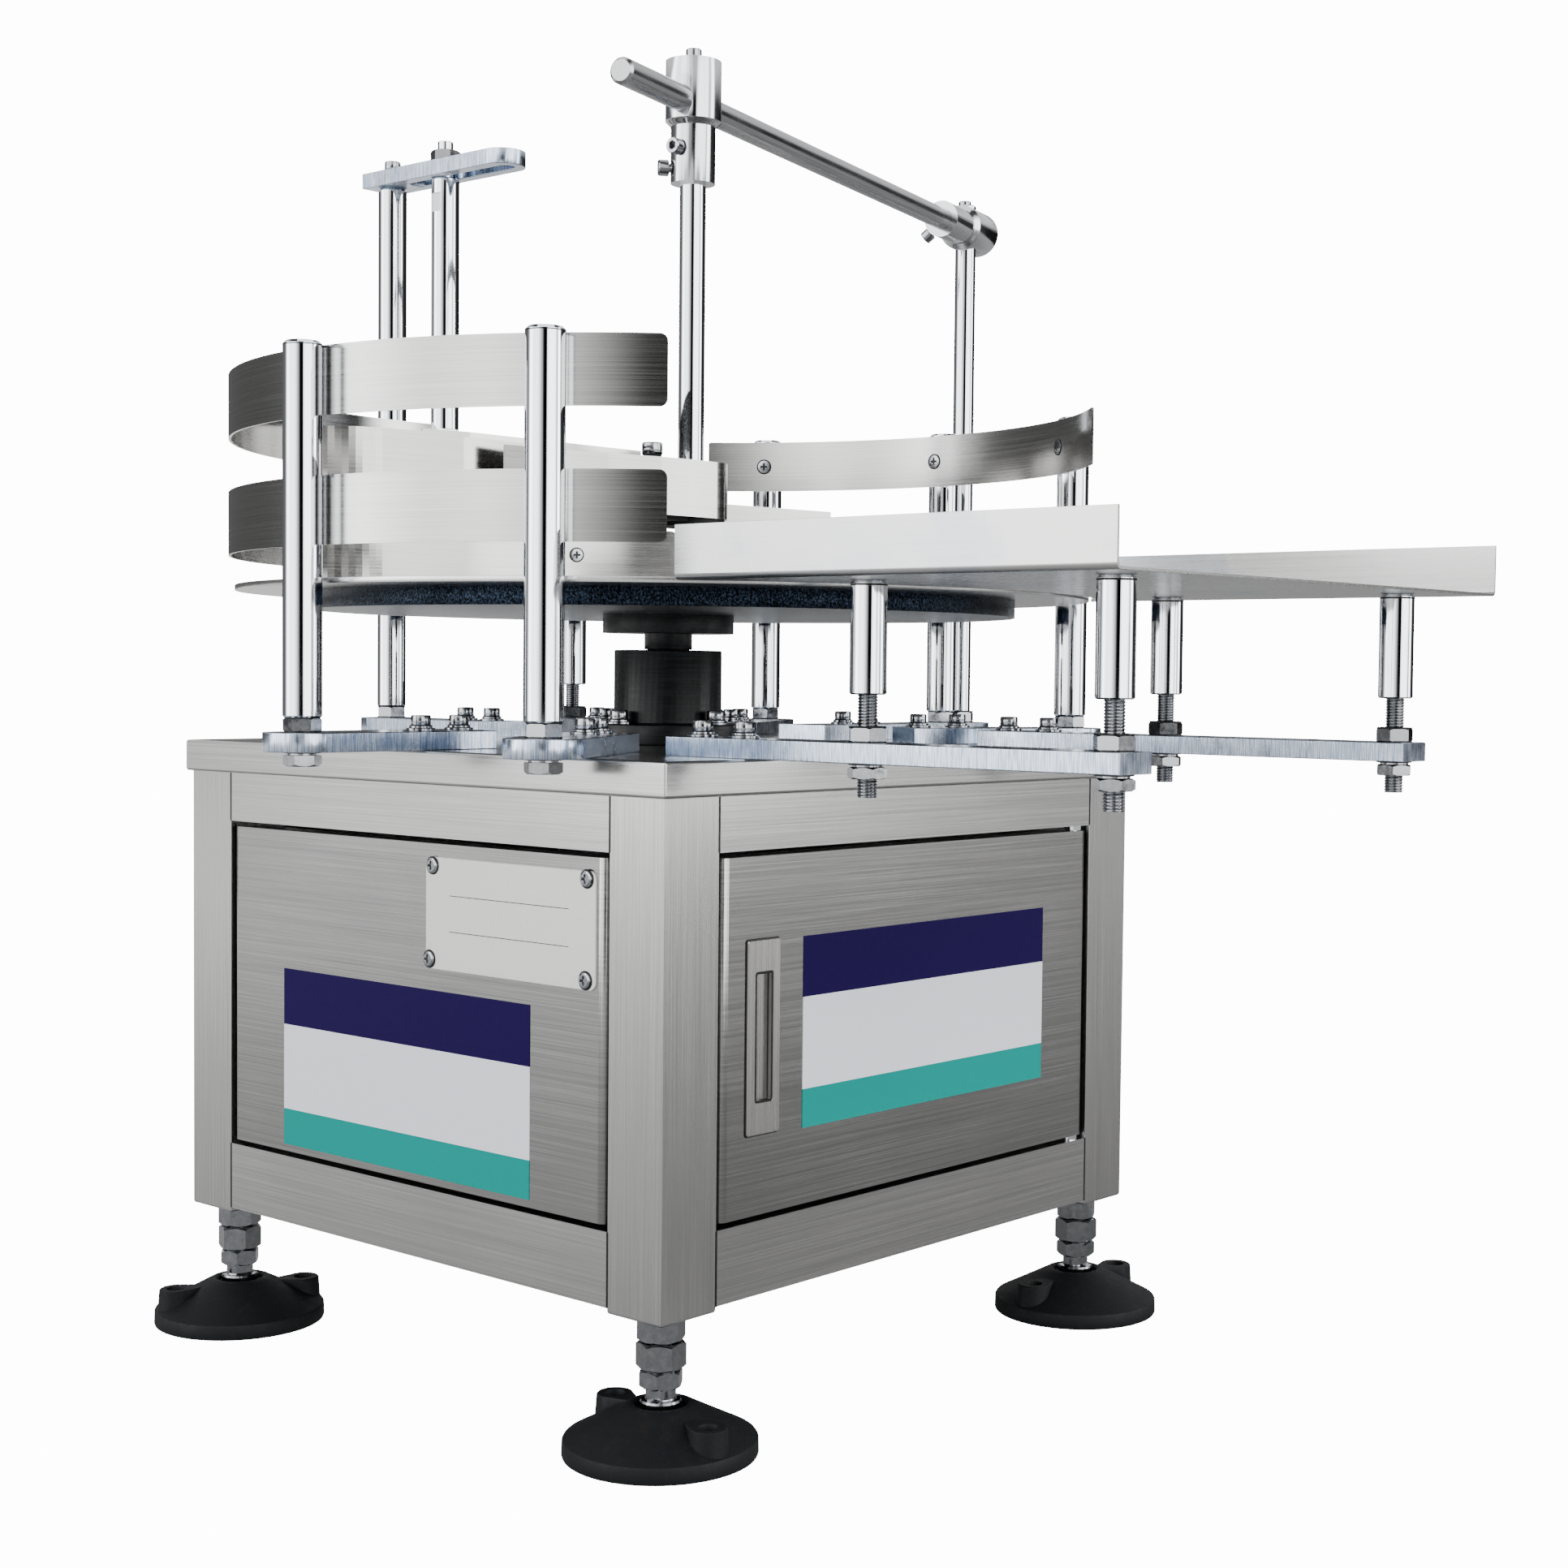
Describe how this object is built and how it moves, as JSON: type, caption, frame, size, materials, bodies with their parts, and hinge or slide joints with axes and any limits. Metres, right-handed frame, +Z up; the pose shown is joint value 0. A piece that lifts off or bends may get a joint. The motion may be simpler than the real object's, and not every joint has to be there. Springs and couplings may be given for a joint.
{
  "type": "rotary accumulation table",
  "caption": "Round driven disc on a square stainless cabinet with levelling feet, curved guard bands, an outfeed tray and overhead guide rods that line products up.",
  "frame": {"origin": "on the floor plane under the axis of the turning disc, which is the centre of the cabinet", "axes": "+Z up along the disc axis, -Y towards the door and the outfeed tray, +X along the door to its hinge"},
  "size_m": [0.591, 0.7255, 0.73],
  "materials": {
    "stainless_sheet": "brushed",
    "stainless_tube": "brushed along the tube",
    "bright_bar": "polished",
    "turned_clamp": "fine turned",
    "zinc_flat_bar": "zinc plated",
    "plated_fastener": "bright plated",
    "black_nylon": "moulded",
    "blackened_steel": "blackened",
    "dark_plate_steel": "blued",
    "bearing_steel": "ground",
    "gearhead_alloy": "die cast",
    "motor_paint": "painted",
    "controller_case": "moulded",
    "satin_aluminium": "satin"
  },
  "bodies": {
    "cabinet": {"corner_posts": "stainless_tube", "frame_rails": "stainless_tube", "deck_plate": "dark_plate_steel", "cabinet_cover": "stainless_sheet", "left_panel": "stainless_sheet", "right_panel": "stainless_sheet", "rear_panel": "stainless_sheet", "nameplate": "satin_aluminium", "hinge_pins": "bright_bar", "foot_lock_nuts": "plated_fastener", "bearing_housing": "blackened_steel", "spindle_bearings": "bearing_steel", "gearhead": "gearhead_alloy", "drive_motor": "motor_paint", "motor_pillars": "plated_fastener", "speed_controller": "controller_case", "cable_gland": "black_nylon", "left_arms": "zinc_flat_bar", "rear_arms": "zinc_flat_bar", "right_arms": "zinc_flat_bar", "lift_arm": "zinc_flat_bar", "tray_arm_left": "zinc_flat_bar", "tray_arm_right": "zinc_flat_bar", "cap_screws": "plated_fastener", "post_nuts": "plated_fastener", "guard_posts": "bright_bar", "tall_post": "bright_bar", "back_posts": "bright_bar", "lower_guard_band": "stainless_sheet", "upper_guard_band": "stainless_sheet", "back_guide_band": "stainless_sheet", "slotted_bar": "zinc_flat_bar", "lift_post": "bright_bar"},
    "turntable": {"spindle": "blackened_steel", "turntable_plate": "dark_plate_steel", "turntable_top": "stainless_sheet", "shaft_coupling": "bearing_steel", "gear_shaft": "bright_bar"},
    "door": {"door": "stainless_sheet", "door_handle": "satin_aluminium"},
    "speed_knob": {"speed_knob": "satin_aluminium"},
    "hanging_guide": {"hanging_post": "bright_bar", "hanging_guide": "stainless_sheet"},
    "tray": {"tray": "stainless_sheet", "tray_posts": "bright_bar"},
    "swing_clamp": {"post_clamp": "turned_clamp", "cross_rod": "bright_bar"},
    "rod_clamp": {"rod_clamp": "turned_clamp"},
    "finger": {"drop_rod": "bright_bar", "finger_guide": "stainless_sheet", "nose_block": "black_nylon"},
    "foot_front_left": {"foot_pad_front_left": "black_nylon", "foot_stud_front_left": "plated_fastener"},
    "foot_front_right": {"foot_pad_front_right": "black_nylon", "foot_stud_front_right": "plated_fastener"},
    "foot_rear_left": {"foot_pad_rear_left": "black_nylon", "foot_stud_rear_left": "plated_fastener"},
    "foot_rear_right": {"foot_pad_rear_right": "black_nylon", "foot_stud_rear_right": "plated_fastener"}
  },
  "joints": [
    {"name": "turntable_spin", "type": "hinge", "parent": "cabinet", "child": "turntable", "pos_m": [0, 0, 0.4], "axis": [0, 0, 1], "continuous": true},
    {"name": "door_hinge", "type": "hinge", "parent": "cabinet", "child": "door", "pos_m": [0.14975, -0.19075, 0.205], "axis": [0, 0, 1], "range_deg": [0, 105]},
    {"name": "speed_dial", "type": "hinge", "parent": "cabinet", "child": "speed_knob", "pos_m": [-0.105, 0.15025, 0.214], "axis": [0, -1, 0], "range_deg": [0, 270]},
    {"name": "guide_slot", "type": "slide", "parent": "cabinet", "child": "hanging_guide", "axis": [0, -1, 0], "range_m": [0, 0.05]},
    {"name": "tray_height", "type": "slide", "parent": "cabinet", "child": "tray", "axis": [0, 0, 1], "range_m": [-0.008, 0.012]},
    {"name": "arm_swing", "type": "hinge", "parent": "cabinet", "child": "swing_clamp", "pos_m": [0.2833, 0, 0.6925], "axis": [0, 0, -1], "range_deg": [0, 15]},
    {"name": "clamp_slide", "type": "slide", "parent": "swing_clamp", "child": "rod_clamp", "axis": [0.9641, 0.2656, 0], "range_m": [0, 0.06]},
    {"name": "finger_height", "type": "slide", "parent": "rod_clamp", "child": "finger", "axis": [0, 0, -1], "range_m": [0, 0.012]},
    {"name": "level_front_left", "type": "slide", "parent": "cabinet", "child": "foot_front_left", "axis": [0, 0, -1], "range_m": [0, 0.043]},
    {"name": "level_front_right", "type": "slide", "parent": "cabinet", "child": "foot_front_right", "axis": [0, 0, -1], "range_m": [0, 0.043]},
    {"name": "level_rear_left", "type": "slide", "parent": "cabinet", "child": "foot_rear_left", "axis": [0, 0, -1], "range_m": [0, 0.043]},
    {"name": "level_rear_right", "type": "slide", "parent": "cabinet", "child": "foot_rear_right", "axis": [0, 0, -1], "range_m": [0, 0.043]}
  ]
}
